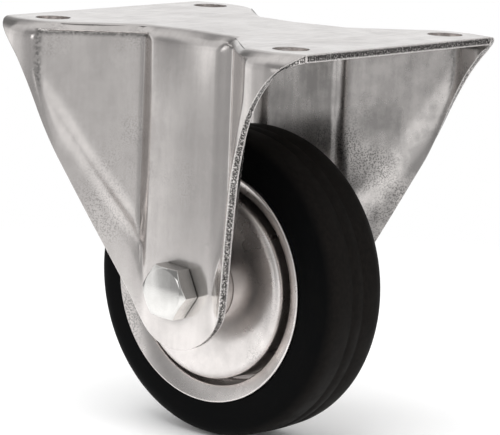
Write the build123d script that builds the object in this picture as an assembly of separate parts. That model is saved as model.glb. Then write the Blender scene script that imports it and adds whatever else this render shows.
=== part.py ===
from build123d import *
import os
from math import acos, atan2, cos, radians, sin, tan

# Fixed castor: a bracket pressed from one sheet, with a rubber wheel on a roller bearing.
# Millimetres. Origin at the middle of the plate's top face, +Z up and out of that face,
# X along the way the wheel rolls, Y along the axle. The bolt's head is on the -Y side.

# Top plate
plate_length = 100.0
hole_end_margin = 10.0
hole_side_margin = 12.0
hole_diameter = 9.0
sheet = 2.0
bend_radius = 4.5

# Bracket in plan: a flat column at the axle, wings that splay out, and a strip at each corner
axle_drop = 65.5
column_half_width = 13.85
wing_angle = 42.8
strip_half_width = 42.0
strip_straight = 9.7
strip_taper_angle = 13.65
waist_radius = 6.0
shoulder_radius = 15.0
strip_radius = 8.0

# Bracket from the side: a round lobe at the axle and an edge that sweeps out to the plate's ends
lobe_radius = 15.3
axle_hole_diameter = 8.4
knee_x = 34.1
knee_rise = 44.0
knee_reach = 12.0
tip_reach = 5.0
tip_fall = 0.8

# Panel sunk into each wing
panel_depth = 2.0
panel_top = 1.7
panel_top_angle = 12.0
panel_column_x = 11.3
panel_column_angle = 27.0
panel_strip_x = 35.2
panel_strip_angle = 22.0
panel_low_rise = 13.0
panel_high_rise = 49.7
panel_ramp_angle = 38.0
panel_fillet = 2.0
panel_top_fillet = 0.5

# Dart pressed into the top of each column, where the sheet leans in to the plate
dart_rise = 45.0
dart_lean = 7.5
dart_half_width = 9.5

# Wheel
wheel_diameter = 80.0
tyre_width = 24.0
rim_overhang = 1.0
tread_crown = 0.7
tyre_shoulder = 5.0
rim_sheet = 1.5
lip_radius = 30.4
disc_radius = 24.5
disc_edge_radius = 2.0
groove_width = 1.6
flange_rise = 2.6

# Roller bearing
axle_tube_diameter = 11.0
roller_diameter = 2.5
roller_end_margin = 4.7
roller_count = 10
hub_wall = 1.5
hub_length = 41.4
washer_thickness = 1.0
washer_seat_gap = 0.1
hub_end_play = 0.2
cage_gap = 0.3
running_clearance = 0.04
pocket_clearance = 0.1

# Axle bolt and lock nut
bolt_diameter = 8.0
bolt_projection = 4.0
head_flats = 13.0
head_height = 5.3
head_chamfer_angle = 30.0
head_ring_inset = 0.5
head_turn = -5.0
nut_flats = 13.0
nut_height = 8.0
insert_height = 2.6
insert_collar = 10.6
bore_clearance = 0.1
seat_clearance = 0.05
edge_break = 0.4

# Places worked out from the sizes above
axle_z = -axle_drop
leg_inner = hub_length / 2 + hub_end_play + washer_thickness + washer_seat_gap
leg_outer = leg_inner + sheet
wing_slope = tan(radians(wing_angle))
shoulder_x = column_half_width + (strip_half_width - leg_outer) / wing_slope
strip_end = shoulder_x + strip_straight
wing_along = Vector(cos(radians(wing_angle)), sin(radians(wing_angle)), 0)
wing_out = Vector(-sin(radians(wing_angle)), cos(radians(wing_angle)), 0)
axle_tube_radius = axle_tube_diameter / 2
roller_radius = roller_diameter / 2
roller_pitch = axle_tube_radius + roller_radius + running_clearance
hub_bore = roller_pitch + roller_radius + running_clearance
hub_radius = hub_bore + hub_wall
roller_length = hub_length - roller_end_margin * 2
rim_width = tyre_width + rim_overhang * 2
bolt_radius = bolt_diameter / 2
bolt_length = leg_outer * 2 + nut_height + bolt_projection
cut_reach = 200.0


def in_all_quadrants(solid):
    """The solid and its mirror images about X = 0 and Y = 0."""
    pair = [solid, mirror(solid, about=Plane.YZ)]
    return pair + [mirror(one, about=Plane.XZ) for one in pair]


def round_corners(face, x, y, radius):
    """Round the face's four corners that lie at (+-x, +-y)."""
    picked = [v for v in face.vertices() if abs(abs(v.X) - x) < 0.01 and abs(abs(v.Y) - y) < 0.01]
    return fillet(picked, radius)


def plan_outline():
    """The bracket's outline seen from above, run on past the ends of the plate."""
    past_end = plate_length / 2 + strip_end
    quarter = [
        (past_end, strip_half_width - (past_end - strip_end) * tan(radians(strip_taper_angle))),
        (strip_end, strip_half_width),
        (shoulder_x, strip_half_width),
        (column_half_width, leg_outer),
    ]
    upper = quarter + [(-x, y) for x, y in reversed(quarter)]
    lower = [(x, -y) for x, y in reversed(upper)]
    face = make_face(Polyline(upper + lower, close=True))
    face = round_corners(face, column_half_width, leg_outer, waist_radius)
    face = round_corners(face, shoulder_x, strip_half_width, shoulder_radius)
    return round_corners(face, strip_end, strip_half_width, strip_radius)


def side_outline():
    """The bracket's outline seen along the axle: plate end, swept edge and lobe."""
    end_x = plate_length / 2
    knee = Vector(knee_x, knee_rise)
    touch = atan2(knee_rise, knee_x) - acos(lobe_radius / knee.length)
    tangent_point = Vector(lobe_radius * cos(touch), lobe_radius * sin(touch))
    away = (knee - tangent_point).normalized()
    drop = Vector(0, axle_z)
    knee_at = knee + drop
    lobe_at = tangent_point + drop
    tip = Vector(end_x, -sheet)
    sweep = [tip, tip - Vector(tip_reach, tip_fall), knee_at + away * knee_reach, knee_at]
    above = bend_radius
    right = [Line((end_x, above), tip), Bezier(*sweep), Line(knee_at, lobe_at)]
    lobe = ThreePointArc(lobe_at, (0, axle_z - lobe_radius), (-lobe_at.X, lobe_at.Y))
    left = [mirror(edge, about=Plane.YZ) for edge in right]
    top = Line((-end_x, above), (end_x, above))
    face = make_face(Curve() + right + [lobe] + left + [top])
    return Plane.XZ * face


def cut_block(planes, grow):
    """The space on the inner side of every (point, outward normal) plane, moved out by grow."""
    block = Box(cut_reach, cut_reach, cut_reach)
    for point, normal in planes:
        outward = normal.normalized()
        block = split(block, bisect_by=Plane(point + outward * grow, z_dir=outward), keep=Keep.BOTTOM)
    return block


def face_towards(block, direction):
    """The face of the block that looks most nearly along direction."""
    return max(block.faces(), key=lambda f: f.normal_at().dot(direction))


def round_edges(block, floor, walls, radius):
    """Round the edges that the face along floor shares with the faces along walls."""
    rim = face_towards(block, floor).edges()
    sides = [edge for wall in walls for edge in face_towards(block, wall).edges()]
    return fillet([edge for edge in sides if any(edge.is_same(other) for other in rim)], radius)


def sunk_panel(grow):
    """The tool that presses one wing's panel, grown by the sheet for the inner face."""
    corner = Vector(column_half_width, leg_outer, 0)
    column = radians(panel_column_angle)
    strip = radians(panel_strip_angle)
    top = radians(panel_top_angle)
    ramp = radians(panel_ramp_angle)
    up = Vector(0, 0, 1)
    strip_at = (panel_strip_x - column_half_width) / wing_along.X
    low = corner + up * (axle_z + panel_low_rise)
    high = corner + wing_along * strip_at + up * (axle_z + panel_high_rise)
    ramp_out = wing_out.cross((high - low).normalized())
    floor = -wing_out
    column_wall = Vector(-sin(column), -cos(column), 0)
    strip_wall = Vector(cos(strip), -sin(strip), 0)
    ledge = up * cos(top) - wing_out * sin(top)
    ramp_wall = ramp_out * sin(ramp) - wing_out * cos(ramp)
    block = cut_block([
        (corner - wing_out * panel_depth, floor),
        (Vector(panel_column_x, leg_outer, 0), column_wall),
        (Vector(panel_strip_x, strip_half_width, 0), strip_wall),
        (corner - up * panel_top, ledge),
        (low, ramp_wall),
    ], grow)
    block = round_edges(block, floor, [column_wall, strip_wall, ramp_wall], panel_fillet + grow)
    return round_edges(block, floor, [ledge], panel_top_fillet + grow)


def column_dart(grow):
    """The tool that presses the dart at the top of the +Y column: a cone that leans in."""
    lean = radians(dart_lean)
    spread = atan2(dart_half_width, axle_drop - dart_rise)
    half = atan2(1 - cos(spread) * cos(lean), cos(spread) * sin(lean))
    axis = Vector(0, sin(half - lean), cos(half - lean))
    apex = Vector(0, leg_outer, axle_z + dart_rise) - axis * (grow / sin(half))
    cone = Cone(0, cut_reach * tan(half), cut_reach, align=(Align.CENTER, Align.CENTER, Align.MIN))
    return (Plane(apex, z_dir=axis) * cone) & Box(dart_half_width + column_half_width, cut_reach, cut_reach)


def bracket_volume(grow):
    """The block inside the sheet's outer face, or with grow inside its inner face."""
    outline = plan_outline()
    if grow:
        outline = offset(outline, -grow)
    block = Pos(0, 0, -grow) * extrude(outline, -(axle_drop + lobe_radius + bend_radius))
    for dart in (column_dart(grow), mirror(column_dart(grow), about=Plane.XZ)):
        block -= dart
    block = fillet(block.faces().sort_by(Axis.Z)[-1].outer_wire().edges(), bend_radius - grow)
    for panel in in_all_quadrants(sunk_panel(grow)):
        block -= panel
    return block


def make_fork():
    """The bracket: top plate and both legs in one sheet."""
    trimmed = bracket_volume(0) & extrude(side_outline(), cut_reach / 2, both=True)
    body = trimmed - bracket_volume(sheet)
    hole_x = plate_length / 2 - hole_end_margin
    hole_y = strip_half_width - hole_side_margin
    for x in (-hole_x, hole_x):
        for y in (-hole_y, hole_y):
            body -= Pos(x, y, 0) * Cylinder(hole_diameter / 2, sheet * 4)
    return body - Pos(0, 0, axle_z) * Rot(90, 0, 0) * Cylinder(axle_hole_diameter / 2, cut_reach)


def about_axle(face):
    """Turn a face drawn as (radius, y) about the axle."""
    return Pos(0, 0, axle_z) * revolve(face, Axis.Y)


def tube(inner, outer, start, end, chamfered=0.0):
    """A tube along the axle from y = start to y = end, its edges broken by chamfered."""
    face = make_face(Polyline([(inner, start), (outer, start), (outer, end), (inner, end)], close=True))
    if chamfered:
        face = chamfer(face.vertices(), chamfered)
    return about_axle(face)


def hexagon(flats, start, end, turn=0.0):
    """A hexagonal prism along the axle, a corner turned by turn from +X towards +Z."""
    prism = extrude(RegularPolygon(flats / 2, 6, major_radius=False, rotation=turn), end - start)
    return Pos(0, start, axle_z) * Rot(-90, 0, 0) * prism


def hexagon_corner(flats):
    """Radius of a hexagon's corners."""
    return flats / 2 / cos(radians(30))


def make_tyre():
    """Solid rubber tyre that fills the trough between the two half rims."""
    half = tyre_width / 2
    seat = rim_barrel_outer() + seat_clearance
    lip_y = rim_width / 2 - rim_sheet / cos(flange_angle())
    bead_y = lip_y - (lip_radius - seat) * tan(flange_angle()) - seat_clearance
    tread = wheel_diameter / 2
    crown = ThreePointArc((tread - tread_crown, half), (tread, 0), (tread - tread_crown, -half))
    side = lip_radius + seat_clearance
    inside = Polyline([(tread - tread_crown, -half), (side, -half), (side, -lip_y + seat_clearance),
                       (seat, -bead_y), (seat, bead_y), (side, lip_y - seat_clearance), (side, half),
                       (tread - tread_crown, half)])
    face = make_face(Curve() + [crown, inside])
    shoulders = [v for v in face.vertices() if abs(abs(v.Y) - half) < 0.01 and v.X > side + 1]
    return about_axle(fillet(shoulders, tyre_shoulder))


def flange_angle():
    """Slope of the rim's flange, in radians."""
    return atan2(flange_rise, lip_radius - disc_radius - groove_width)


def rim_barrel_outer():
    """Radius of the rim's barrel where the tyre sits."""
    return disc_radius + groove_width + rim_sheet


def make_rim():
    """The half rim on the +Y side: disc, deep groove, barrel and flange in one sheet."""
    face_y = rim_width / 2
    slope = tan(flange_angle())
    under = rim_sheet / cos(flange_angle())
    groove = disc_radius + groove_width
    barrel = rim_barrel_outer()
    hole = hub_radius + seat_clearance
    flange_foot = face_y - flange_rise
    points = [
        (hole, face_y), (disc_radius, face_y), (disc_radius, rim_sheet), (groove, rim_sheet),
        (groove, flange_foot), (lip_radius, face_y), (lip_radius, face_y - under),
        (barrel, face_y - under - (lip_radius - barrel) * slope), (barrel, 0),
        (disc_radius - rim_sheet, 0), (disc_radius - rim_sheet, face_y - rim_sheet),
        (hole, face_y - rim_sheet),
    ]
    face = make_face(Polyline(points, close=True))
    outer_bend = [v for v in face.vertices() if abs(v.X - disc_radius) < 0.01 and v.Y > rim_sheet + 1]
    face = fillet(outer_bend, disc_edge_radius)
    inner_bend = [v for v in face.vertices() if abs(v.X - disc_radius + rim_sheet) < 0.01 and v.Y > 1]
    face = fillet(inner_bend, disc_edge_radius - rim_sheet)
    return about_axle(face)


def make_bolt():
    """Hex bolt: head against the -Y leg, shank through to the nut."""
    seat = -leg_outer
    head = hexagon(head_flats, seat - head_height, seat, head_turn)
    corner = hexagon_corner(head_flats)
    ring = head_flats / 2 - head_ring_inset
    fall = (corner - ring) * tan(radians(head_chamfer_angle))
    crown = [(0, seat - head_height), (ring, seat - head_height), (corner, seat - head_height + fall),
             (corner, seat), (0, seat)]
    head &= about_axle(make_face(Polyline(crown, close=True)))
    end = seat + bolt_length
    tip = edge_break * 2
    shank = [(0, seat), (bolt_radius, seat), (bolt_radius, end - tip), (bolt_radius - tip, end), (0, end)]
    return head + about_axle(make_face(Polyline(shank, close=True)))


def make_nut():
    """Lock nut on the +Y leg: hexagon with a round collar that holds the insert."""
    seat = leg_outer
    hex_top = seat + nut_height - insert_height
    corner = hexagon_corner(nut_flats)
    body = hexagon(nut_flats, seat, hex_top)
    collar_radius = nut_flats / 2 - edge_break
    profile = [
        (0, seat), (corner - edge_break, seat), (corner, seat + edge_break), (corner, hex_top - edge_break),
        (collar_radius, hex_top + edge_break), (0, hex_top + edge_break),
    ]
    body &= about_axle(make_face(Polyline(profile, close=True)))
    body += tube(0, collar_radius, hex_top - edge_break, seat + nut_height)
    body -= tube(0, bolt_radius + seat_clearance, seat - sheet, seat + nut_height + sheet)
    return body - tube(0, insert_collar / 2, hex_top, seat + nut_height + sheet)


def make_insert():
    """Plastic ring that grips the bolt's thread inside the nut."""
    seat = leg_outer + nut_height
    return tube(bolt_radius + seat_clearance, insert_collar / 2 - seat_clearance,
                seat - insert_height, seat - edge_break)


def make_cage():
    """Tube with one pocket for each roller."""
    inner = axle_tube_radius + cage_gap
    outer = hub_bore - cage_gap
    half = hub_length / 2 - cage_gap
    body = tube(inner, outer, -half, half)
    pocket_length = roller_length + pocket_clearance * 2
    pocket_width = roller_diameter + pocket_clearance * 2
    pocket = Pos(roller_pitch, 0, 0) * Box(roller_diameter * 2, pocket_length, pocket_width)
    for number in range(roller_count):
        body -= Pos(0, 0, axle_z) * Rot(0, number * 360 / roller_count, 0) * pocket
    return body


def make_roller(number):
    """One steel roller in its pocket."""
    half = roller_length / 2
    break_at = edge_break / 2
    profile = [(0, -half), (roller_radius - break_at, -half), (roller_radius, -half + break_at),
               (roller_radius, half - break_at), (roller_radius - break_at, half), (0, half)]
    roller = revolve(make_face(Polyline(profile, close=True)), Axis.Y)
    turn = Rot(0, number * 360 / roller_count, 0)
    return Pos(0, 0, axle_z) * turn * Pos(roller_pitch, 0, 0) * roller


def make_washer():
    """Thin ring on the axle tube between the hub's +Y end and the leg."""
    end = leg_inner - washer_seat_gap
    return tube(axle_tube_radius + bore_clearance, hub_radius, end - washer_thickness, end)


rim = make_rim()
washer = make_washer()
nodes = {
    "fork": make_fork(),
    "axle_bolt": make_bolt(),
    "lock_nut": make_nut(),
    "nut_insert": make_insert(),
    "axle_tube": tube(bolt_radius + bore_clearance, axle_tube_radius, -leg_inner, leg_inner, edge_break),
    "end_washer_nut_side": washer,
    "end_washer_head_side": mirror(washer, about=Plane.XZ),
    "tyre": make_tyre(),
    "rim_nut_side": rim,
    "rim_head_side": mirror(rim, about=Plane.XZ),
    "hub_tube": tube(hub_bore, hub_radius, -hub_length / 2, hub_length / 2, edge_break),
    "roller_cage": make_cage(),
}
for index in range(roller_count):
    nodes[f"roller_{index + 1}"] = make_roller(index)

os.makedirs("parts", exist_ok=True)
for name, solid in nodes.items():
    export_step(solid, f"parts/{name}.step")
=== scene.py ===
from math import acos, atan2, ceil, cos, hypot, pi, radians, sin, sqrt, tan
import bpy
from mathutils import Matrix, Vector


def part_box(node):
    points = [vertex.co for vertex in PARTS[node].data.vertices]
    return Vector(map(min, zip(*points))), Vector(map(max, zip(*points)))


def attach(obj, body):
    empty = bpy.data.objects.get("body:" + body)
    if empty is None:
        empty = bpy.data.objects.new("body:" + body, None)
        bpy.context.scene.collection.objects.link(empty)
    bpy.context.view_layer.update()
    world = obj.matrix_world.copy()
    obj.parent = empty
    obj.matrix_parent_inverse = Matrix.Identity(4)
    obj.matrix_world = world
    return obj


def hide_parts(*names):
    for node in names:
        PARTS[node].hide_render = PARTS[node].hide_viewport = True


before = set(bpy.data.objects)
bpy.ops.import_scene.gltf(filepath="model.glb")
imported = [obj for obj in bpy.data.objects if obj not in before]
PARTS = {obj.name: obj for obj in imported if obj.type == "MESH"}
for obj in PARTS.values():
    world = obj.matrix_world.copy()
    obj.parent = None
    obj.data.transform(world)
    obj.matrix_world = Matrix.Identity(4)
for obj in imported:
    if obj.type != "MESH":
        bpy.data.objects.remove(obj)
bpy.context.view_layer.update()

from types import SimpleNamespace

import bmesh
import bpy
from bpy.props import FloatProperty, FloatVectorProperty, IntProperty, PointerProperty
from bpy.types import Operator, Panel, PropertyGroup
from mathutils import Matrix, Vector

bl_info = {
    "name": "Fixed castor finishes",
    "version": (1, 0, 0),
    "blender": (4, 5, 0),
    "location": "View3D > Sidebar > Castor",
    "description": "Zinc, rubber and fastener detail for the castor's solids, with its studio",
    "category": "Object",
}

MM = 0.001
TYRE_LOW, TYRE_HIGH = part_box("tyre")
AXLE_Z = (TYRE_LOW.z + TYRE_HIGH.z) / 2 / MM
GROUND_Z = TYRE_LOW.z / MM
ROLLERS = sorted(name for name in PARTS if name.startswith("roller_") and name != "roller_cage")

# Rows of the bracket's mesh: over half the plate, close together over the roll, and on down the leg
PLATE_ROWS = 8
LEDGE_ROWS = 30
LEDGE_REACH = 10.0
WALL_ROWS = 74
# Columns of it that lie closer together at the plate's ends, as shares of the usual step
END_STEPS = (0.04, 0.12, 0.25, 0.45, 0.7)
# How far past the column its bow fades out, and how the dart deepens towards the plate
CROWN_FADE = 12.0
DART_SWELL = 1.3
# Where the painted shade starts and ends: inside the panel, and out from its strip wall and its ledge
PANEL_SHADE = (-0.5, 0.4)
STRIP_SHADE = (0.9, 2.2)
LEDGE_SHADE = (3.0, 9.0)
RAMP_BLEND = 4.0

# Sizes of the marks in the plating and the rubber
CLOUD = 11.0
DRAWN_LINE = 1.6
SWELL = 8.5
PATCH = 24.0
PIT = 0.8
TEAR = 0.5
MOULD_RING = 1.1
# Distances from the axle between which the rubber turns into worn tread
TREAD_START, TREAD_FULL = 38.0, 39.6

BOLT_FACETS = 144
BOLT_MIDDLE = 0.01
# Clearance between the tyre, the rims and the hub
PLAY = 0.05

# Heights in degrees over which the studio's walls dim, dim again, and give way to the ceiling
EYE_LEVEL, CORNICE, CEILING = (0, 4), (15, 21), (30, 60)
# The floor's reach and the distances between which it fades out, in metres
FLOOR_REACH, FLOOR_FADE, FLOOR_GAP = 0.9, (0.15, 0.32), 0.0002
# The camera's bearing, height and roll in degrees, its distance and offsets in millimetres
CAMERA_BEARING, CAMERA_HEIGHT, CAMERA_ROLL = 40.94, 9.75, 2.08
CAMERA_BACK, CAMERA_RIGHT, CAMERA_UP = 757.74, 2.846, 15.781
# The lens in pixels of a picture this many pixels wide, and the sensor's width in millimetres
LENS_PIXELS, PICTURE_PIXELS, SENSOR_WIDTH = 2936.35, 500.0, 36.0


def colour(name, description, default):
    return FloatVectorProperty(name=name, description=description, subtype="COLOR", size=3,
                               min=0.0, max=1.0, default=default)


def length(name, description, default):
    """A length kept in metres, with its default given in millimetres."""
    return FloatProperty(name=name, description=description, subtype="DISTANCE", unit="LENGTH",
                         precision=5, min=0.0, default=default * MM)


def tilt(name, description, degrees):
    return FloatProperty(name=name, description=description, subtype="ANGLE", default=radians(degrees))


def share(name, description, default):
    return FloatProperty(name=name, description=description, subtype="FACTOR", min=0.0, max=1.0,
                         default=default)


def power(name, description, default):
    return FloatProperty(name=name, description=description, unit="POWER", min=0.0, default=default)


class CastorBracket(PropertyGroup):
    sheet: length("Sheet", "Thickness of the pressed sheet", 2.0)
    roll: length("Roll", "Outer radius of the roll from the plate into the walls", 4.5)
    column: length("Column", "Half the width of the flat column at the axle", 13.85)
    wing_angle: tilt("Wing angle", "How far the wings splay out from the column", 42.8)
    waist: length("Waist", "Radius between column and wing", 6.0)
    shoulder: length("Shoulder", "Radius between wing and strip", 15.0)
    strip: length("Strip", "Length of the straight strip at each corner", 9.7)
    strip_taper: tilt("Strip taper", "How far the strip turns in towards the plate's end", 13.65)
    corner: length("Corner", "Radius where the strip starts to taper", 8.0)
    crown: length("Crown", "How far the column's face bows from its middle to its edges", 0.4)
    lobe: length("Lobe", "Radius of the lobe round the axle", 15.3)
    knee_across: length("Knee across", "How far from the middle the swept edge bends away", 34.1)
    knee_rise: length("Knee rise", "How far above the axle the swept edge bends away", 44.0)
    knee_reach: length("Knee reach", "How long the swept edge keeps its slope past the knee", 12.0)
    tip_reach: length("Tip reach", "How long the swept edge runs along the plate's end", 5.0)
    tip_fall: length("Tip fall", "How far the swept edge falls along that reach", 0.8)
    end_corner: length("End corner", "Radius of the sheet's corner at the plate's end", 2.8)
    hole: length("Hole", "Diameter of the plate's holes", 9.0)
    axle_hole: length("Axle hole", "Diameter of the bolt's hole in each leg", 8.4)
    hole_end: length("Hole to end", "From a hole's middle to the plate's end", 10.0)
    hole_side: length("Hole to side", "From a hole's middle to the plate's side", 12.0)
    panel_depth: length("Panel depth", "How deep the panels are pressed in", 2.0)
    panel_top: length("Panel top", "From the plate's face down to the panel's ledge", 1.7)
    panel_top_angle: tilt("Ledge angle", "Slope of the panel's ledge", 12)
    panel_column: length("Panel start", "From the middle to the panel's wall beside the column", 11.3)
    panel_column_angle: tilt("Column wall angle", "Slope of the wall beside the column", 27)
    panel_strip: length("Panel end", "From the middle to the panel's wall beside the strip", 35.2)
    panel_strip_angle: tilt("Strip wall angle", "Slope of the wall beside the strip", 22)
    panel_low: length("Ramp foot", "Height over the axle of the ramp's lower end", 8.5)
    panel_high: length("Ramp head", "Height over the axle of the ramp's upper end", 49.7)
    ramp_angle: tilt("Ramp angle", "Steepness of the ramp, from the wing's face", 24)
    panel_foot: length("Panel foot", "Softness of the bends at the panel's foot", 1.4)
    panel_rim: length("Panel rim", "Softness of the bends at the panel's rim", 1.2)
    ramp_softness: length("Ramp softness", "Softness of the bends at the ramp's foot and rim", 1.0)
    dart_rise: length("Dart rise", "Height over the axle where the dart starts", 45.0)
    dart_lean: tilt("Dart lean", "How far the dart leans in", 4.0)
    dart_half_width: length("Dart half width", "Half the dart's width at the plate", 12.0)
    step: length("Step", "Distance between the mesh's rows", 0.76)


class CastorZinc(PropertyGroup):
    light: colour("Light zinc", "Zinc where the plating is clean", (0.81, 0.770, 0.750))
    dull: colour("Dull zinc", "Zinc where the plating is cloudy", (0.67, 0.637, 0.620))
    # The inner side's zinc is painted darker than the outer, as painted shade; its clouds are real cloudy
    # tone.
    inner: colour("Inner zinc", "Zinc on the bracket's inner side", (0.62, 0.592, 0.575))
    shadow: colour("Inner clouds", "Cloudy zinc on the bracket's inner side", (0.35, 0.335, 0.327))
    # The grains' dark colour also paints the shade in the bends and along the panels' walls.
    grain: colour("Grain", "The dark grains in the plating's rough patches", (0.16, 0.155, 0.15))
    cut: colour("Cut edge", "Sheared edge of the sheet", (0.045, 0.042, 0.040))
    roughness: share("Roughness", "Roughness of the clean plating", 0.16)
    cloudiness: share("Cloudiness", "How much rougher the cloudy patches are", 0.06)
    speckle: length("Speckle", "Size of the plating's grains", 0.40)
    waviness: length("Waviness", "Height of the sheet's long waves", 0.30)
    burr: length("Burr", "Radius of the sheared edges", 0.28)
    # This also sets how wide the painted highlight along the sheared edge's corners is.
    edge_burr: length("Edge burr", "How far the sheared edge's own corners are worn round", 0.85)
    # Painted shade: the tight bends are darkened out to this distance, and by this much.
    crease: length("Crease", "How far the tarnish reaches out of the tight bends", 4.5)
    painted_shade: share("Tarnish", "How dark the tight bends are", 0.85)


class CastorRims(PropertyGroup):
    disc_radius: length("Disc radius", "Radius of the flat disc, to the foot of its bend", 24.5)
    disc_bend: length("Disc bend", "Radius of the bend round the disc", 2.0)
    sheet: length("Sheet", "Thickness of the rim's sheet", 1.5)
    groove_width: length("Groove width", "Width of the deep groove between disc and flange", 1.6)
    flange_rise: length("Flange rise", "How far the flange climbs from the groove to the lip", 2.6)
    brushing: share("Brushing", "How strongly the turned disc stretches its highlights", 0.75)


class CastorRubber(PropertyGroup):
    rubber: colour("Rubber", "Tyre rubber", (0.0022, 0.0024, 0.0026))
    worn: colour("Worn rubber", "Tread where the skin is scuffed", (0.0105, 0.0090, 0.0080))
    crown: length("Crown", "How far the tread falls from its middle to its edges", 0.7)
    shoulder: length("Shoulder", "Radius of the tyre's shoulders", 5.0)
    groove_spacing: length("Groove spacing", "Distance between the tread's two grooves", 4.2)
    groove_width: length("Groove width", "Width of the tread's two grooves", 0.8)
    groove_depth: length("Groove depth", "Depth of the tread's two grooves", 0.2)
    facets: IntProperty(name="Facets", description="Steps round the wheel", min=32, max=512, default=256)


class CastorFasteners(PropertyGroup):
    plating: colour("Plating", "Bolt and nut plating", (0.82, 0.81, 0.79))
    stained: colour("Stained plating", "Bolt and nut plating where it is cloudy", (0.66, 0.65, 0.63))
    flats: length("Flats", "Width of the bolt's head across its flats", 13.0)
    ring_inset: length("Ring inset", "How far the face's ring lies inside the flats", 0.5)
    chamfer: tilt("Chamfer", "Slope of the head's chamfer", 30)
    turn: tilt("Turn", "How far the head is turned", -5)
    shank: length("Shank", "Diameter of the bolt's shank", 8.0)
    pitch: length("Thread pitch", "Pitch of the bolt's thread", 1.25)
    thread_depth: length("Thread depth", "Depth of the bolt's thread", 0.6)
    insert: colour("Locking ring", "Plastic of the nut's locking ring", (0.62, 0.61, 0.57))


class CastorBearing(PropertyGroup):
    ground: colour("Ground steel", "Ground steel of the rollers", (0.55, 0.55, 0.55))
    ground_dull: colour("Dull ground steel", "Ground steel where it is cloudy", (0.45, 0.45, 0.45))
    cage: colour("Cage", "Plastic of the rollers' cage", (0.02, 0.02, 0.02))
    washer: colour("Washers", "Plastic of the end washers", (0.03, 0.03, 0.03))


class CastorStudio(PropertyGroup):
    paper: share("Paper", "Brightness of the white paper behind the castor and to its right", 1.0)
    window: share("Window", "Brightness of the tall window to the castor's left", 0.95)
    wall: share("Wall", "Brightness of the plain wall in front", 0.50)
    corner: share("Corner", "Brightness of the dim corner behind to the right", 0.40)
    upper: share("Upper wall", "How much of their brightness the walls keep above eye level", 0.88)
    cornice: share("Cornice", "How much of that they keep in the band under the ceiling", 0.75)
    ceiling: share("Ceiling", "Brightness of the ceiling", 0.90)
    floor: colour("Floor", "Floor colour", (0.98, 0.98, 0.98))
    sky: share("Sky", "Strength of the soft light from all round", 1.0)
    front_power: power("Front softbox", "Power of the raised softbox in front", 0.5)
    left_power: power("Left softbox", "Power of the tall softbox to the left", 2.2)
    top_power: power("Top lamp", "Power of the lamp above", 7.0)


class Graph:
    """A node tree under construction, with short ways to add and join its nodes."""

    def __init__(self, tree):
        self.tree = tree

    def node(self, kind, **settings):
        made = self.tree.nodes.new(kind)
        for key, value in settings.items():
            setattr(made, key, value)
        return made

    def join(self, source, target):
        self.tree.links.new(source, target)

    def feed(self, socket, value):
        """Joins the socket to another node's, or sets it to a plain value."""
        if isinstance(value, bpy.types.NodeSocket):
            self.join(value, socket)
        else:
            socket.default_value = value

    def compute(self, operation, first, second=0.0, third=0.0):
        made = self.node("ShaderNodeMath", operation=operation)
        for socket, value in zip(made.inputs, (first, second, third)):
            self.feed(socket, value)
        return made.outputs[0]

    def span(self, value, low, high, to_low=0.0, to_high=1.0, course="LINEAR"):
        """The value's place between low and high, carried over to between to_low and to_high."""
        made = self.node("ShaderNodeMapRange", interpolation_type=course)
        for socket, given in zip(made.inputs, (value, low, high, to_low, to_high)):
            self.feed(socket, given)
        return made.outputs[0]

    def split(self, vector):
        made = self.node("ShaderNodeSeparateXYZ")
        self.join(vector, made.inputs[0])
        return made.outputs

    def mixed(self, amount, first, second):
        """Two shaders, mixed by amount."""
        made = self.node("ShaderNodeMixShader")
        self.join(amount, made.inputs[0])
        self.join(first.outputs[0], made.inputs[1])
        self.join(second.outputs[0], made.inputs[2])
        return made


class Finish(Graph):
    """A material under construction."""

    def __init__(self, name):
        self.material = bpy.data.materials.new(name)
        self.material.use_nodes = True
        super().__init__(self.material.node_tree)
        self.shader = self.tree.nodes["Principled BSDF"]
        self.output = self.tree.nodes["Material Output"]
        self.coords = self.node("ShaderNodeTexCoord").outputs["Object"]

    def noise(self, size, detail=3.0, stretch=(1, 1, 1), roughness=0.55):
        """Noise with blotches of about size millimetres."""
        stretched = self.node("ShaderNodeMapping")
        self.join(self.coords, stretched.inputs["Vector"])
        stretched.inputs["Scale"].default_value = stretch
        made = self.node("ShaderNodeTexNoise")
        self.join(stretched.outputs[0], made.inputs["Vector"])
        made.inputs["Scale"].default_value = 1 / (size * MM)
        made.inputs["Detail"].default_value = detail
        made.inputs["Roughness"].default_value = roughness
        return made.outputs["Fac"]

    def blend(self, amount, first, second):
        """Two colours, blended by amount."""
        made = self.node("ShaderNodeMix", data_type="RGBA")
        self.feed(made.inputs[0], amount)
        for socket, value in ((made.inputs[6], first), (made.inputs[7], second)):
            self.feed(socket, value if isinstance(value, bpy.types.NodeSocket) else (*value[:3], 1.0))
        return made.outputs[2]

    def bumped(self, height, distance, strength=1.0, below=None):
        made = self.node("ShaderNodeBump")
        self.join(height, made.inputs["Height"])
        made.inputs["Distance"].default_value = distance * MM
        made.inputs["Strength"].default_value = strength
        if below is not None:
            self.join(below, made.inputs["Normal"])
        return made.outputs[0]

    def softened(self, radius, samples):
        """The surface's normal with its corners worn round."""
        made = self.node("ShaderNodeBevel", samples=samples)
        made.inputs["Radius"].default_value = radius
        return made.outputs[0]

    def shade(self, **values):
        """Feeds the shader's inputs, named as in base_color for Base Color."""
        for name, value in values.items():
            self.feed(self.shader.inputs[name.replace("_", " ").title().replace("Ior", "IOR")], value)
        return self.material


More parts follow.
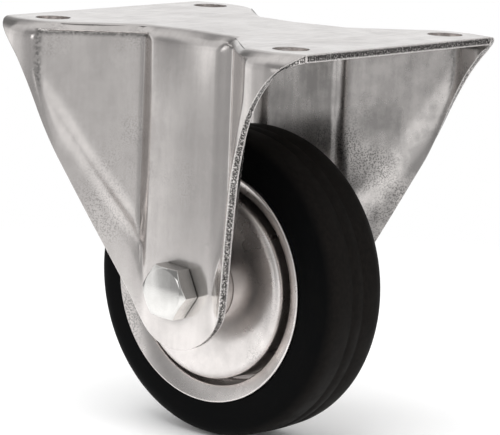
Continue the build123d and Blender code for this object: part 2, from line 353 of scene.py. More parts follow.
def plated_steel(name, settings, light=None, dull=None, drawn=(1, 0.12, 0.12), waves=1.0, rough=0.0,
                 patches=1.0, low_patches=0.0, creased=False, burr=None):
    """Zinc plate on pressed sheet: cloudy tone, rough grainy patches and long waves along the drawing."""
    finish = Finish(name)
    clouds = finish.noise(CLOUD, 4.0, roughness=0.6)
    fine = finish.noise(settings.speckle / MM, 2.0, roughness=0.6)
    lines = finish.noise(DRAWN_LINE, 2.0, stretch=drawn)
    swell = finish.noise(SWELL, 0.0, stretch=(drawn[0], drawn[1] / 3, drawn[2] / 3))
    tone = finish.compute("MULTIPLY", clouds, 0.60)
    tone = finish.compute("MULTIPLY_ADD", fine, 0.08, tone)
    tone = finish.compute("MULTIPLY_ADD", lines, 0.20, tone)
    clean = finish.span(tone, 0.34, 0.54)
    base = finish.blend(clean, dull or settings.dull, light or settings.light)
    lowness = finish.span(finish.split(finish.coords)["Z"], -25 * MM, -60 * MM, 0.0, low_patches)
    patchy = finish.compute("ADD", finish.noise(PATCH, 3.0, roughness=0.6), lowness)
    patch = finish.span(patchy, 0.52, 0.68, 0.0, patches)
    specks = finish.compute("MULTIPLY", patch, finish.span(fine, 0.44, 0.50, 1.0, 0.0))
    base = finish.blend(finish.compute("MULTIPLY", specks, 0.6), base, settings.grain)
    least = settings.roughness + rough
    roughness = finish.span(clean, 0.0, 1.0, least + settings.cloudiness, least)
    roughness = finish.compute("MULTIPLY_ADD", patch, 0.10, roughness)
    below = None
    # Creased sheet gets painted shade in its tight bends and along its panels' walls, and its corners worn
    # round.
    if creased:
        base = finish.blend(painted_crease_shade(finish, settings), base, settings.grain)
        below = finish.softened(burr or settings.burr, samples=4)
    wavy = finish.bumped(swell, settings.waviness / MM * waves, 1.0, below)
    drawn_lines = finish.bumped(lines, 0.008, 0.35, wavy)
    grainy = finish.bumped(fine, 0.016, 0.25, drawn_lines)
    finish.shade(base_color=base, roughness=roughness, metallic=1.0, normal=grainy)
    return finish


def painted_crease_shade(finish, settings):
    """How much painted shade darkens the plating: in the tight bends and next to other parts, found by
    ambient occlusion, and along the panels' walls where the sheet's own mark says so.
    """
    # Painted shade in the tight bends and next to other parts, found by ambient occlusion.
    hidden = finish.node("ShaderNodeAmbientOcclusion", samples=8)
    hidden.inputs["Distance"].default_value = settings.crease
    in_bends = finish.span(hidden.outputs["AO"], 0.45, 0.84, settings.painted_shade, 0.0)
    # Painted shade along the panels' walls and ledge, as marked on the sheet, broken up by speckle.
    pitted = finish.span(finish.noise(PIT, 3.0, roughness=0.7), 0.42, 0.56, 0.45, 1.0)
    marked = finish.node("ShaderNodeAttribute", attribute_name="painted_shade").outputs["Fac"]
    stained = finish.compute("MULTIPLY", finish.compute("MULTIPLY", marked, pitted), settings.painted_shade)
    return finish.compute("MAXIMUM", in_bends, stained)


def sheared_edge(name, settings):
    """The dark, torn grey of the sheet where it was sheared, with a painted highlight along its worn-round
    corners.
    """
    finish = plated_steel(name, settings, waves=0.0, rough=0.12, patches=0.0, creased=True,
                          burr=settings.edge_burr)
    torn = finish.span(finish.noise(TEAR, 3.0, roughness=0.8), 0.50, 0.62)
    middle = finish.blend(torn, settings.cut, settings.dull)
    # Painted highlight: where the worn-round corners turn away, the edge takes the pale zinc colour and less
    # metal, so it stays bright.
    square = finish.node("ShaderNodeVectorMath", operation="DOT_PRODUCT")
    finish.join(finish.softened(settings.edge_burr, samples=6), square.inputs[0])
    finish.join(finish.node("ShaderNodeNewGeometry").outputs["True Normal"], square.inputs[1])
    burr = finish.span(square.outputs["Value"], 0.975, 0.93)
    return finish.shade(base_color=finish.blend(burr, middle, settings.light),
                        metallic=finish.span(burr, 0.0, 1.0, 0.9, 0.3))


def moulded_plastic(name, tint, roughness):
    """Plastic with a faint mottle and a fine moulded skin."""
    finish = Finish(name)
    mottle = finish.span(finish.noise(2.5, 4.0), 0.3, 0.7)
    paler = tuple(min(1.0, channel * 1.5 + 0.01) for channel in tint)
    return finish.shade(base_color=finish.blend(mottle, tint, paler),
                        roughness=finish.span(mottle, 0.0, 1.0, roughness, roughness + 0.15),
                        normal=finish.bumped(finish.noise(0.25, 2.0), 0.01, 0.4))


def tyre_rubber(settings):
    """Black rubber: matt sidewalls with faint mould rings, and a paler tread."""
    finish = Finish("tyre_rubber")
    place = finish.split(finish.coords)
    height = finish.compute("SUBTRACT", place["Z"], AXLE_Z * MM)
    squares = [finish.compute("MULTIPLY", side, side) for side in (place["X"], height)]
    reach = finish.compute("SQRT", finish.compute("ADD", *squares))
    tread = finish.span(reach, TREAD_START * MM, TREAD_FULL * MM)
    dust = finish.span(finish.noise(7.0, 5.0, roughness=0.65), 0.42, 0.75)
    scuff = finish.span(finish.noise(1.2, 4.0), 0.35, 0.7, 0.55, 1.0)
    paler = finish.compute("MAXIMUM", finish.compute("MULTIPLY", tread, scuff),
                           finish.compute("MULTIPLY", dust, 0.15))
    rings = finish.compute("SINE", finish.compute("MULTIPLY", reach, 2 * pi / (MOULD_RING * MM)))
    skin = finish.bumped(finish.noise(0.35, 3.0), 0.02, 0.6)
    return finish.shade(base_color=finish.blend(paler, settings.rubber, settings.worn),
                        roughness=finish.span(dust, 0.0, 1.0, 0.50, 0.66),
                        normal=finish.bumped(rings, 0.01, 0.35, skin), specular_ior_level=0.03)


def rounded(points, closed=True, steps=5):
    """A line or polygon of corners (x, y, radius), each rounded by its own radius if it has one."""
    result = []
    total = len(points)
    for index, (x, y, *given) in enumerate(points):
        radius = given[0] if given else 0.0
        ends = not closed and index in (0, total - 1)
        if not radius or ends:
            result.append((x, y))
            continue
        here = Vector((x, y))
        before = Vector(points[index - 1][:2]) - here
        after = Vector(points[(index + 1) % total][:2]) - here
        half = before.angle(after) / 2
        cut = min(radius / tan(half), before.length * 0.98, after.length * 0.98)
        radius = cut * tan(half)
        centre = here + (before.normalized() + after.normalized()).normalized() * (radius / sin(half))
        first = here + before.normalized() * cut - centre
        last = here + after.normalized() * cut - centre
        sweep = first.angle_signed(last)
        start = atan2(first.y, first.x)
        for step in range(steps + 1):
            turned_to = start - sweep * step / steps
            result.append((centre.x + radius * cos(turned_to), centre.y + radius * sin(turned_to)))
    return result


def mesh_of(name, points, faces):
    data = bpy.data.meshes.new(name)
    data.from_pydata(points, [], faces)
    data.update()
    return data


def placed(name, data):
    """A new object in the scene."""
    made = bpy.data.objects.new(name, data)
    bpy.context.scene.collection.objects.link(made)
    return made


def smooth(data, sharp):
    """Smooths the mesh's shading, but for edges sharper than so many degrees."""
    data.polygons.foreach_set("use_smooth", [True] * len(data.polygons))
    data.set_sharp_from_angle(angle=radians(sharp))


def mesh_piece(name, rings, closed_rows, facets, sharp=35.0):
    """A mesh from rows of points, each row going once round the axle."""
    points = [point for row in rings for point in row]
    faces = []
    rows = len(rings)
    for row in range(rows if closed_rows else rows - 1):
        below = row * facets
        above = (row + 1) % rows * facets
        for step in range(facets):
            after = (step + 1) % facets
            faces.append((below + step, below + after, above + after, above + step))
    data = mesh_of(name, points, faces)
    smooth(data, sharp)
    return placed(name, data)


def round_the_axle(radius, y, angle):
    return ((radius * cos(angle)) * MM, y * MM, (AXLE_Z + radius * sin(angle)) * MM)


def turned(name, profile, facets, closed=True, sharp=35.0):
    """A body of revolution about the axle from a profile of (radius, y) points."""
    rings = [[round_the_axle(radius, y, 2 * pi * step / facets) for step in range(facets)]
             for radius, y in profile]
    piece = mesh_piece(name, rings, closed, facets, sharp)
    face_outwards(piece)
    return piece


def face_outwards(piece):
    work = bmesh.new()
    work.from_mesh(piece.data)
    bmesh.ops.recalc_face_normals(work, faces=work.faces)
    work.to_mesh(piece.data)
    work.free()


def stand_in(piece, material, node, body):
    """Lets a piece stand for one of the castor's solids, with its material, slot and moving body."""
    piece.data.materials.append(material)
    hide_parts(node)
    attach(piece, body)


def dress(names, material):
    """Gives some of the castor's solids their material."""
    for name in names:
        solid = PARTS[name]
        if not solid.material_slots:
            solid.data.materials.append(material)
        for held in solid.material_slots:
            held.material = material


def size_of(name):
    low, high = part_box(name)
    return low / MM, high / MM


def hexagon_reach(flats, angle, turn):
    """Distance from a hexagon's middle to its side at an angle, a corner lying at turn."""
    sector = (angle - turn) % (pi / 3) - pi / 6
    return flats / 2 / cos(sector)


class CASTOR_OT_bracket(Operator):
    """Presses the bracket from sheet, pierces it and plates it in zinc"""
    bl_idname = "castor.bracket"
    bl_label = "Bracket"

    def execute(self, context):
        zinc = context.scene.castor_zinc
        bracket = in_millimetres(context.scene.castor_bracket)
        piece = bracket_sheet(bracket)
        outside = plated_steel("bracket_zinc", zinc, patches=0.6, creased=True)
        # The inner side is plated in a darker copy of the zinc: painted shade, with real patches.
        inside = plated_steel("bracket_shaded_inner_zinc", zinc, zinc.inner, zinc.shadow, rough=0.08, patches=1.3,
                              low_patches=0.16, creased=True)
        for material in (outside.material, sheared_edge("bracket_sheared_edge", zinc), inside.material):
            piece.data.materials.append(material)
        thicken_and_pierce(piece, bracket)
        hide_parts("fork")
        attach(piece, "bracket")
        return {"FINISHED"}


def in_millimetres(group):
    """A group's lengths in millimetres, and its angles as they are."""
    values = SimpleNamespace()
    for name in group.__annotations__:
        unit = group.bl_rna.properties[name].unit
        setattr(values, name, getattr(group, name) / (MM if unit == "LENGTH" else 1))
    return values


def leg_face():
    """How far the legs' outer faces stand from the middle: the nut's seat."""
    return size_of("lock_nut")[0].y


def wall_line(bracket):
    """The +Y wall seen from above, as places (x, y, slant) from one end of the plate to the other."""
    end, side = size_of("fork")[1].xy
    shoulder_x = bracket.column + (side - leg_face()) / tan(bracket.wing_angle)
    taper_x = shoulder_x + bracket.strip
    right = [(bracket.column, leg_face(), bracket.waist), (shoulder_x, side, bracket.shoulder),
             (taper_x, side, bracket.corner), (end, side - (end - taper_x) * tan(bracket.strip_taper))]
    left = [(-x, y, *given) for x, y, *given in reversed(right)]
    points = [Vector(point) for point in rounded(left + right, closed=False, steps=24)]
    lengths = [(after - before).length for before, after in zip(points, points[1:])]
    total = sum(lengths)
    count = ceil(total / bracket.step)
    steps = sorted([*range(count + 1), *END_STEPS, *[count - near for near in END_STEPS]])
    result = []
    for step in steps:
        place = min(total * step / count, total - 1e-6)
        leg = 0
        while place > lengths[leg]:
            place -= lengths[leg]
            leg += 1
        here = points[leg].lerp(points[leg + 1], place / lengths[leg])
        along = (points[leg + 1] - points[leg]).normalized()
        result.append((here.x, here.y, along.x))
    return result


def lower_edge(bracket, x):
    """Height of the bracket's swept lower edge at x."""
    x = abs(x)
    end = size_of("fork")[1].x
    lean = atan2(bracket.knee_rise, bracket.knee_across)
    touch = lean - acos(bracket.lobe / hypot(bracket.knee_across, bracket.knee_rise))
    tangent_point = Vector((bracket.lobe * cos(touch), AXLE_Z + bracket.lobe * sin(touch)))
    if x <= tangent_point.x:
        return AXLE_Z - sqrt(bracket.lobe ** 2 - x ** 2)
    knee = Vector((bracket.knee_across, AXLE_Z + bracket.knee_rise))
    along = (knee - tangent_point).normalized()
    if x <= knee.x:
        return tangent_point.y + (x - tangent_point.x) * along.y / along.x
    tip = Vector((end, -bracket.sheet))
    before_tip = tip - Vector((bracket.tip_reach, bracket.tip_fall))
    corners = (knee, knee + along * bracket.knee_reach, before_tip, tip)
    low, high = 0.0, 1.0
    for _ in range(30):
        middle = (low + high) / 2
        if on_curve(corners, middle).x < x:
            low = middle
        else:
            high = middle
    return on_curve(corners, low).y


def on_curve(corners, part):
    """A point on the Bezier curve through four corners."""
    rest = 1 - part
    first, second, third, fourth = corners
    return (first * rest ** 3 + second * 3 * rest ** 2 * part
            + third * 3 * rest * part ** 2 + fourth * part ** 3)


def soft_min(first, second, softness):
    """The lesser of the two, with the corner where they cross rounded off."""
    overlap = max(softness - abs(first - second), 0.0) / softness
    return min(first, second) - overlap ** 2 * softness / 4


def ramp_in(value, low, high):
    """A smooth step from 0 at low to 1 at high."""
    part = min(max((value - low) / (high - low), 0.0), 1.0)
    return part ** 2 * (3 - 2 * part)


def panel_planes(bracket):
    """The walls of the press tool for the +X +Y panel, each as (point, outward normal, softness)."""
    side = size_of("fork")[1].y
    along = Vector((cos(bracket.wing_angle), sin(bracket.wing_angle), 0))
    out = Vector((-sin(bracket.wing_angle), cos(bracket.wing_angle), 0))
    up = Vector((0, 0, 1))
    corner = Vector((bracket.column, leg_face(), 0))
    low = corner + up * (AXLE_Z + bracket.panel_low)
    high = (corner + along * ((bracket.panel_strip - bracket.column) / along.x)
            + up * (AXLE_Z + bracket.panel_high))
    ramp_out = out.cross((high - low).normalized())
    column, strip = bracket.panel_column_angle, bracket.panel_strip_angle
    top, ramp = bracket.panel_top_angle, bracket.ramp_angle
    return out, (
        (corner - out * bracket.panel_depth, -out, 0.0),
        (low, ramp_out * sin(ramp) - out * cos(ramp), bracket.ramp_softness),
        (Vector((bracket.panel_column, leg_face(), 0)), Vector((-sin(column), -cos(column), 0)),
         bracket.panel_foot),
        (Vector((bracket.panel_strip, side, 0)), Vector((cos(strip), -sin(strip), 0)),
         bracket.panel_foot / 2),
        (corner - up * bracket.panel_top, up * cos(top) - out * sin(top), bracket.panel_foot / 4),
    )


def pressed_in(bracket, out, planes, point):
    """The point of the +X +Y quarter after the press has sunk the panel, and how much painted shade it gets
    there.
    """
    depths = [(place - point).dot(normal) / -normal.dot(out) for place, normal, _ in planes]
    depth, ramp, *walls = depths
    ramp_share = min(max(0.5 + (min(walls) - ramp) / RAMP_BLEND, 0.0), 1.0)
    for here, (_, _, softness) in zip(depths[1:], planes[1:]):
        depth = soft_min(depth, here, softness)
    rim = bracket.panel_rim + (bracket.ramp_softness - bracket.panel_rim) * ramp_share
    strip, ledge = walls[1:]
    # Painted shade inside the panel, fading out from its strip wall and its ledge.
    inside = ramp_in(min(ramp, *walls), *PANEL_SHADE)
    painted_shade = inside * (1 - min(ramp_in(strip, *STRIP_SHADE), ramp_in(ledge, *LEDGE_SHADE)))
    return point + out * soft_min(0.0, -depth, rim), painted_shade


def dart_depth(bracket, x, z):
    """How far the dart at the column's top draws the wall in."""
    start = AXLE_Z + bracket.dart_rise
    if z <= start:
        return 0.0
    height = (z - start) / -start
    bowl = max(0.0, 1 - (x / bracket.dart_half_width) ** 2)
    return -start * tan(bracket.dart_lean) * height ** DART_SWELL * bowl ** 2


def wall_path(bracket, x, y, slant):
    """Points from the plate's middle out to the roll and down the wall at x."""
    roll = bracket.roll
    bottom = lower_edge(bracket, x)
    half = bracket.sheet / 2
    turn = acos(max(0.0, min(1.0, (roll + bottom) / (roll - half))))
    past = abs(x) - (size_of("fork")[1].x - bracket.end_corner)
    corner_cut = bracket.end_corner - sqrt(max(0.0, bracket.end_corner ** 2 - max(0.0, past) ** 2))
    total = roll * turn + max(0.0, -roll - bottom) - corner_cut
    inset = y - roll / slant
    points = []
    for row in range(1, PLATE_ROWS + 1):
        across = inset * row / PLATE_ROWS
        draw = dart_depth(bracket, x, 0.0) * (across / inset) ** 2
        points.append(Vector((x, across - draw, 0.0)))
    close = min(total * LEDGE_ROWS / (LEDGE_ROWS + WALL_ROWS), LEDGE_REACH)
    distances = [close * row / LEDGE_ROWS for row in range(1, LEDGE_ROWS + 1)]
    distances += [close + (total - close) * row / WALL_ROWS for row in range(1, WALL_ROWS + 1)]
    bow = bracket.crown * (x / bracket.column) ** 2 if x < bracket.column else bracket.crown
    bow *= 1 - ramp_in(x, bracket.column, bracket.column + CROWN_FADE)
    for distance in distances:
        bend = min(distance / roll, pi / 2)
        z = -roll * (1 - cos(bend)) - max(0.0, distance - roll * pi / 2)
        draw = dart_depth(bracket, x, z) + bow * sin(bend)
        points.append(Vector((x, inset + roll * sin(bend) / slant - draw, z)))
    return points


def bracket_sheet(bracket):
    """The bracket's outer face: plate, rolls and walls, with the panels and darts pressed in."""
    out, planes = panel_planes(bracket)
    points = []
    painted_shade = []
    line = wall_line(bracket)
    for x, y, slant in line:
        path = []
        shade_marks = []
        for point in wall_path(bracket, abs(x), y, slant):
            place, shade_mark = pressed_in(bracket, out, planes, point)
            path.append(Vector((place.x if x >= 0 else -place.x, place.y, place.z)))
            shade_marks.append(shade_mark)
        near = [Vector((here.x, -here.y, here.z)) * MM for here in reversed(path)]
        points += near + [Vector((x, 0, 0)) * MM] + [here * MM for here in path]
        painted_shade += shade_marks[::-1] + [0.0] + shade_marks
    rows = len(points) // len(line)
    starts = [column * rows + row for column in range(len(line) - 1) for row in range(rows - 1)]
    faces = [(start, start + 1, start + rows + 1, start + rows) for start in starts]
    data = mesh_of("bracket_pressing", points, faces)
    # Each point's painted shade, kept for the plating's material.
    data.attributes.new("painted_shade", "FLOAT", "POINT").data.foreach_set("value", painted_shade)
    return placed("bracket_pressing", data)


def thicken_and_pierce(piece, bracket):
    """Turns the plate's face up, gives the sheet its thickness and cuts its holes."""
    middle = piece.data.polygons[len(piece.data.polygons) // 2]
    if middle.normal.z < 0:
        piece.data.flip_normals()
    drill = drills(bracket)
    solid = piece.modifiers.new("thickness", "SOLIDIFY")
    solid.thickness = bracket.sheet * MM
    solid.offset = -1.0
    solid.material_offset_rim = 1
    solid.material_offset = 2
    holes = piece.modifiers.new("holes", "BOOLEAN")
    holes.operation = "DIFFERENCE"
    holes.solver = "EXACT"
    holes.object = drill
    shape = bpy.data.meshes.new_from_object(piece.evaluated_get(bpy.context.evaluated_depsgraph_get()))
    piece.modifiers.clear()
    piece.data = shape
    smooth(shape, 40.0)
    bpy.data.objects.remove(drill)


def drills(bracket):
    """Rods where the plate's four holes and the axle's hole go."""
    end, side = size_of("fork")[1].xy
    across, along = end - bracket.hole_end, side - bracket.hole_side
    work = bmesh.new()

    def rod(diameter, depth, place):
        bmesh.ops.create_cone(work, cap_ends=True, segments=64, radius1=diameter / 2 * MM,
                              radius2=diameter / 2 * MM, depth=depth * MM, matrix=place)

    for x, y in ((-across, -along), (-across, along), (across, -along), (across, along)):
        rod(bracket.hole, bracket.sheet * 4, Matrix.Translation(Vector((x, y, 0)) * MM))
    axle = Matrix.Translation((0, 0, AXLE_Z * MM)) @ Matrix.Rotation(radians(90), 4, "X")
    rod(bracket.axle_hole, side * 2, axle)
    data = bpy.data.meshes.new("drills")
    work.to_mesh(data)
    work.free()
    return placed("drills", data)


class CASTOR_OT_bolt(Operator):
    """Makes the axle bolt with its chamfered head and rolled thread"""
    bl_idname = "castor.bolt"
    bl_label = "Axle bolt"

    def execute(self, context):
        fasteners = context.scene.castor_fasteners
        low, high = size_of("axle_bolt")
        rings = bolt_head(fasteners, low.y) + bolt_thread(fasteners, high.y)
        piece = mesh_piece("axle_bolt_detail", rings, False, BOLT_FACETS, 28.0)
        face_outwards(piece)
        stand_in(piece, bright_plating("bolt_plating", context.scene), "axle_bolt", "bracket")
        return {"FINISHED"}


def bolt_ring(reach, y):
    """One row of points round the axle; reach and y may change with the angle."""
    def at(value, angle):
        return value(angle) if callable(value) else value

    angles = [2 * pi * step / BOLT_FACETS for step in range(BOLT_FACETS)]
    return [round_the_axle(at(reach, angle), at(y, angle), angle) for angle in angles]


def bolt_head(fasteners, face):
    """Rows from the middle of the head's face, over its chamfer and flats, to the leg."""
    ring = (fasteners.flats / 2 - fasteners.ring_inset) / MM
    seat = -leg_face()
    edge = 0.12

    def side(angle):
        return hexagon_reach(fasteners.flats / MM, angle, fasteners.turn)

    def chamfer(angle):
        return face + (side(angle) - ring) * tan(fasteners.chamfer)

    return [
        bolt_ring(BOLT_MIDDLE, face),
        bolt_ring(ring - edge, face),
        bolt_ring(ring + edge, lambda angle: face + edge * tan(fasteners.chamfer)),
        bolt_ring(lambda angle: side(angle) - edge,
                  lambda angle: chamfer(angle) - edge * tan(fasteners.chamfer)),
        bolt_ring(side, lambda angle: chamfer(angle) + edge),
        bolt_ring(side, seat - edge * 2),
        bolt_ring(lambda angle: side(angle) - edge * 2, seat),
    ]


def bolt_thread(fasteners, end):
    """Rows along the shank, its thread cut as a helix that runs out towards the leg."""
    seat = -leg_face()
    start = leg_face() - 2
    radius = fasteners.shank / 2 / MM
    pitch = fasteners.pitch / MM
    depth = fasteners.thread_depth / MM
    lead_in = 1.5
    point = 0.8
    steps = ceil((end - start) / pitch * 10)
    rows = [bolt_ring(radius, seat), bolt_ring(radius, start)]
    for step in range(1, steps + 1):
        y = start + (end - start) * step / steps
        tip = radius - max(0.0, y - (end - point))

        def crest(angle):
            phase = (y / pitch - angle / (2 * pi)) % 1.0
            cut = depth * (1 - abs(2 * phase - 1)) * min(1.0, (y - start) / lead_in)
            return min(radius - cut, tip)

        rows.append(bolt_ring(crest, y))
    return rows + [bolt_ring(BOLT_MIDDLE, end)]


def bright_plating(name, scene):
    """The smoother zinc of the bolt and the nut."""
    fasteners = scene.castor_fasteners
    return plated_steel(name, scene.castor_zinc, fasteners.plating, fasteners.stained, waves=0.0, rough=-0.10,
                        patches=0.2).material


class CASTOR_OT_nut(Operator):
    """Plates the lock nut and moulds its locking ring"""
    bl_idname = "castor.nut"
    bl_label = "Lock nut"

    def execute(self, context):
        dress(["lock_nut"], bright_plating("nut_plating", context.scene))
        insert = context.scene.castor_fasteners.insert
        dress(["nut_insert"], moulded_plastic("insert_plastic", insert, 0.45))
        return {"FINISHED"}


class CASTOR_OT_tyre(Operator):
    """Moulds the solid rubber tyre with its tread grooves"""
    bl_idname = "castor.tyre"
    bl_label = "Tyre"

    def execute(self, context):
        rubber = context.scene.castor_rubber
        piece = turned("tyre_moulding", tyre_profile(context.scene), rubber.facets)
        stand_in(piece, tyre_rubber(rubber), "tyre", "wheel")
        return {"FINISHED"}


def tyre_profile(scene):
    """The tyre's section as (radius, y): bead, shoulders and a crowned tread with two grooves."""
    rubber = scene.castor_rubber
    rims = scene.castor_rims
    low, high = size_of("tyre")
    half = high.y
    tread = (high.z - low.z) / 2
    shoulder = rubber.shoulder / MM
    rim_low, rim_high = size_of("rim_nut_side")
    lip = (rim_high.z - rim_low.z) / 2
    sheet = rims.sheet / MM
    seat = (rims.disc_radius + rims.groove_width) / MM + sheet + PLAY
    slope = (rims.flange_rise / MM) / (lip - seat + sheet + PLAY)
    lip_y = rim_high.y - sheet * (1 + slope ** 2) ** 0.5 - PLAY
    bead_y = lip_y - (lip - seat) * slope

    def crown(y):
        return tread - rubber.crown / MM * (y / half) ** 2

    run = [(crown(-half + shoulder), -half + shoulder)]
    wide = rubber.groove_width / MM
    deep = rubber.groove_depth / MM
    for side in (-1, 1):
        y = side * rubber.groove_spacing / 2 / MM
        floor = crown(y) - deep
        foot = floor + deep * 0.15
        run += [(crown(y - wide), y - wide), (foot, y - wide / 2), (floor, y), (foot, y + wide / 2),
                (crown(y + wide), y + wide)]
    run += [(crown(half - shoulder), half - shoulder)]
    edge = crown(half)
    bead = 0.3
    corners = [(lip + PLAY, -half, bead), (edge, -half, shoulder), *run, (edge, half, shoulder),
               (lip + PLAY, half, bead), (lip + PLAY, lip_y), (seat, bead_y), (seat, -bead_y),
               (lip + PLAY, -lip_y)]
    return rounded(corners, steps=8)


class CASTOR_OT_rims(Operator):
    """Presses the two half rims with their soft bends"""
    bl_idname = "castor.rims"
    bl_label = "Half rims"

    def execute(self, context):
        rims = context.scene.castor_rims
        facets = context.scene.castor_rubber.facets
        plating = brushed_disc("rim_zinc", context.scene.castor_zinc, rims)
        for node in ("rim_nut_side", "rim_head_side"):
            piece = turned(node + "_pressing", rim_profile(node, rims), facets)
            stand_in(piece, plating, node, "wheel")
        return {"FINISHED"}


def rim_profile(node, rims):
    """The half rim's section as (radius, y): disc, groove, barrel and flange."""
    low, high = size_of(node)
    side = 1 if high.y > 1 else -1
    face = max(abs(low.y), abs(high.y))
    lip = (high.z - low.z) / 2
    hole = size_of("hub_tube")[1].z - AXLE_Z + PLAY
    disc = rims.disc_radius / MM
    sheet = rims.sheet / MM
    groove = disc + rims.groove_width / MM
    rise = rims.flange_rise / MM
    slope = rise / (lip - groove)
    under = sheet * (1 + slope ** 2) ** 0.5
    barrel = groove + sheet
    bend = rims.disc_bend / MM
    hole_edge, lip_edge, foot_bend, flange_bend, barrel_bend = 0.2, 0.35, 0.5, 1.0, 0.8
    middle = 0.01
    corners = [
        (hole, face, hole_edge), (disc, face, bend), (disc, sheet, foot_bend), (groove, sheet, foot_bend),
        (groove, face - rise, flange_bend), (lip, face, lip_edge), (lip, face - under, lip_edge),
        (barrel, face - under - (lip - barrel) * slope, barrel_bend), (barrel, middle),
        (disc - sheet, middle), (disc - sheet, face - sheet, bend - sheet), (hole, face - sheet),
    ]
    return rounded([(radius, y * side, *given) for radius, y, *given in corners])


def brushed_disc(name, settings, rims):
    """Plated sheet that was turned on a lathe, so that highlights stretch out from the middle."""
    finish = plated_steel(name, settings, drawn=(0.6, 0.3, 0.6), waves=0.3, rough=0.10)
    round_about = finish.node("ShaderNodeTangent", direction_type="RADIAL", axis="Y")
    finish.shade(anisotropic=rims.brushing, tangent=round_about.outputs[0])
    return finish.material


class CASTOR_OT_bearing(Operator):
    """Finishes the hub tube, axle tube, washers, cage and rollers"""
    bl_idname = "castor.bearing"
    bl_label = "Roller bearing"

    def execute(self, context):
        zinc = context.scene.castor_zinc
        bearing = context.scene.castor_bearing
        ground = plated_steel("ground_steel", zinc, bearing.ground, bearing.ground_dull, waves=0.0,
                              rough=-0.05, patches=0.0)
        dress(["hub_tube", "axle_tube"], plated_steel("tube_zinc", zinc, waves=0.0).material)
        dress(ROLLERS, ground.material)
        dress(["roller_cage"], moulded_plastic("cage_plastic", bearing.cage, 0.45))
        dress(["end_washer_head_side", "end_washer_nut_side"],
              moulded_plastic("washer_plastic", bearing.washer, 0.4))
        return {"FINISHED"}


class CASTOR_OT_stage(Operator):
    """Sets the floor, the backdrop, the lamps and the camera"""
    bl_idname = "castor.stage"
    bl_label = "Studio"

    def execute(self, context):
        studio = context.scene.castor_studio
        set_world(context.scene, studio)
        set_floor(studio)
        softbox("front_softbox", studio.front_power, bearing=0, distance=1.1, height=0.15,
                size=(0.46, 0.28), mirrored=True)
        softbox("left_softbox", studio.left_power, bearing=-38, distance=1.1, height=-0.05, size=(0.34, 1.5))
        softbox("top_lamp", studio.top_power, bearing=20, distance=0.5, height=1.0, size=(0.8, 0.8))
        set_camera(context.scene)
        context.scene.view_settings.view_transform = "Standard"
        return {"FINISHED"}


def wall_brightness(studio):
    """Brightness of the studio's walls, by bearing in degrees from the bolt's side towards +X."""
    paper, window, wall, corner = studio.paper, studio.window, studio.wall, studio.corner
    return (
        (-180, window), (-160, paper), (-130, paper), (-124, wall), (-108, wall / 2), (-90, wall / 2),
        (-76, window), (-52, window), (-42, wall), (-30, wall * 0.8), (-10, wall * 0.7), (22, wall * 0.8),
        (45, wall * 1.12), (53, wall * 1.25), (66, paper), (126, paper), (134, corner), (158, corner),
        (180, window),
    )


def set_world(scene, studio):
    """Walls graded by bearing for what is seen and mirrored, and an even glow for what is lit."""
    world = bpy.data.worlds.new("studio")
    scene.world = world
    world.use_nodes = True
    graph = Graph(world.node_tree)
    graph.tree.nodes.clear()
    path = graph.node("ShaderNodeLightPath").outputs
    mirrored = graph.compute("MAXIMUM", path["Is Glossy Ray"], path["Is Transmission Ray"])
    seen = graph.compute("MAXIMUM", path["Is Camera Ray"], mirrored)
    direction = graph.split(graph.node("ShaderNodeTexCoord").outputs["Generated"])
    bearing = graph.compute("ARCTAN2", direction["X"], graph.compute("MULTIPLY", direction["Y"], -1.0))
    walls = graph.node("ShaderNodeValToRGB")
    graph.join(graph.compute("MULTIPLY_ADD", bearing, 1 / (2 * pi), 0.5), walls.inputs[0])
    ramp = walls.color_ramp
    ramp.interpolation = "EASE"
    stops = wall_brightness(studio)
    while len(ramp.elements) < len(stops):
        ramp.elements.new(0.5)
    for stop, (degrees, brightness) in zip(ramp.elements, stops):
        stop.position = degrees / 360 + 0.5
        stop.color = (brightness, brightness, brightness, 1.0)

    def risen(heights, to_low, to_high):
        low, high = (sin(radians(height)) for height in heights)
        return graph.span(direction["Z"], low, high, to_low, to_high, "SMOOTHSTEP")

    backdrop = graph.node("ShaderNodeBackground")
    graph.join(walls.outputs["Color"], backdrop.inputs["Color"])
    upper, cornice = risen(EYE_LEVEL, 1.0, studio.upper), risen(CORNICE, 1.0, studio.cornice)
    graph.join(graph.compute("MULTIPLY", upper, cornice), backdrop.inputs["Strength"])
    ceiling = graph.node("ShaderNodeBackground")
    ceiling.inputs["Strength"].default_value = studio.ceiling
    room = graph.mixed(risen(CEILING, 0.0, 1.0), backdrop, ceiling)
    glow = graph.node("ShaderNodeBackground")
    glow.inputs["Color"].default_value = (1.0, 1.0, 1.0, 1.0)
    glow.inputs["Strength"].default_value = studio.sky
    graph.join(graph.mixed(seen, glow, room).outputs[0], graph.node("ShaderNodeOutputWorld").inputs[0])


def set_floor(studio):
    """A pale disc under the wheel that fades into the backdrop."""
    facets = 96
    height = GROUND_Z * MM - FLOOR_GAP
    turns = [2 * pi * step / facets for step in range(facets)]
    points = [(FLOOR_REACH * cos(turn), FLOOR_REACH * sin(turn), height) for turn in turns]
    floor = placed("floor", mesh_of("floor", points, [tuple(range(facets))]))
    finish = Finish("floor_paper")
    darker = [channel * 0.985 for channel in studio.floor]
    finish.shade(base_color=finish.blend(finish.noise(60.0, 3.0), studio.floor, darker), roughness=0.9,
                 specular_ior_level=0.1)
    reach = finish.node("ShaderNodeVectorMath", operation="LENGTH")
    finish.join(finish.coords, reach.inputs[0])
    clear = finish.node("ShaderNodeBsdfTransparent")
    faded = finish.mixed(finish.span(reach.outputs["Value"], *FLOOR_FADE), finish.shader, clear)
    finish.join(faded.outputs[0], finish.output.inputs["Surface"])
    floor.data.materials.append(finish.material)


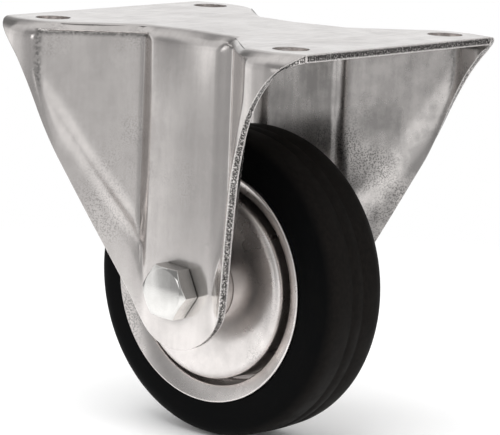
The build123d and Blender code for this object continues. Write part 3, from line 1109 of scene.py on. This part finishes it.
def softbox(name, power, bearing, distance, height, size, mirrored=False):
    """A rectangular lamp that looks at the castor, never seen itself, and mirrored only if asked."""
    data = bpy.data.lights.new(name, "AREA")
    data.shape = "RECTANGLE"
    data.size, data.size_y = size
    data.energy = power
    lamp = placed(name, data)
    lamp.location = (distance * sin(radians(bearing)), -distance * cos(radians(bearing)), height)
    target = Vector((0, 0, AXLE_Z * MM))
    lamp.rotation_euler = (target - lamp.location).to_track_quat("-Z", "Y").to_euler()
    lamp.visible_camera = False
    lamp.visible_glossy = mirrored


def set_camera(scene):
    """The camera where the photograph was taken from, turned a little about its own line of sight."""
    azimuth, height, roll = radians(CAMERA_BEARING), radians(CAMERA_HEIGHT), radians(CAMERA_ROLL)
    back = Vector((sin(azimuth) * cos(height), -cos(azimuth) * cos(height), sin(height)))
    level = Vector((cos(azimuth), sin(azimuth), 0))
    up = back.cross(level)
    right = level * cos(roll) + up * sin(roll)
    upward = up * cos(roll) - level * sin(roll)
    place = back * CAMERA_BACK + right * CAMERA_RIGHT + upward * CAMERA_UP + Vector((0, 0, AXLE_Z))
    data = bpy.data.cameras.new("camera")
    data.sensor_fit = "HORIZONTAL"
    data.sensor_width = SENSOR_WIDTH
    data.lens = LENS_PIXELS * SENSOR_WIDTH / PICTURE_PIXELS
    data.clip_start = 0.05
    camera = placed("camera", data)
    turn = Matrix((right, upward, back)).transposed().to_4x4()
    camera.matrix_world = Matrix.Translation(place * MM) @ turn
    scene.camera = camera


class CASTOR_PT_sidebar(Panel):
    bl_label = "Fixed castor"
    bl_idname = "CASTOR_PT_sidebar"
    bl_space_type = "VIEW_3D"
    bl_region_type = "UI"
    bl_category = "Castor"

    def draw(self, context):
        layout = self.layout
        for title, group, operators in SECTIONS:
            box = layout.box()
            box.label(text=title)
            settings = getattr(context.scene, group)
            for name in settings.__annotations__:
                box.prop(settings, name)
            for operator in operators:
                box.operator(operator.bl_idname)


SECTIONS = (
    ("Zinc", "castor_zinc", ()),
    ("Bracket", "castor_bracket", (CASTOR_OT_bracket,)),
    ("Fasteners", "castor_fasteners", (CASTOR_OT_bolt, CASTOR_OT_nut)),
    ("Tyre", "castor_rubber", (CASTOR_OT_tyre,)),
    ("Rims", "castor_rims", (CASTOR_OT_rims,)),
    ("Bearing", "castor_bearing", (CASTOR_OT_bearing,)),
    ("Studio", "castor_studio", (CASTOR_OT_stage,)),
)
GROUPS = {"castor_zinc": CastorZinc, "castor_bracket": CastorBracket, "castor_fasteners": CastorFasteners,
          "castor_rubber": CastorRubber, "castor_rims": CastorRims, "castor_bearing": CastorBearing,
          "castor_studio": CastorStudio}
OPERATORS = [operator for _, _, operators in SECTIONS for operator in operators]
CLASSES = (*GROUPS.values(), *OPERATORS, CASTOR_PT_sidebar)


def register():
    for kind in CLASSES:
        bpy.utils.register_class(kind)
    for name, group in GROUPS.items():
        setattr(bpy.types.Scene, name, PointerProperty(type=group))


def unregister():
    for name in GROUPS:
        delattr(bpy.types.Scene, name)
    for kind in reversed(CLASSES):
        bpy.utils.unregister_class(kind)


def main():
    register()
    bpy.ops.castor.bracket()
    bpy.ops.castor.bolt()
    bpy.ops.castor.nut()
    bpy.ops.castor.tyre()
    bpy.ops.castor.rims()
    bpy.ops.castor.bearing()
    bpy.ops.castor.stage()


if __name__ == "__main__":
    main()
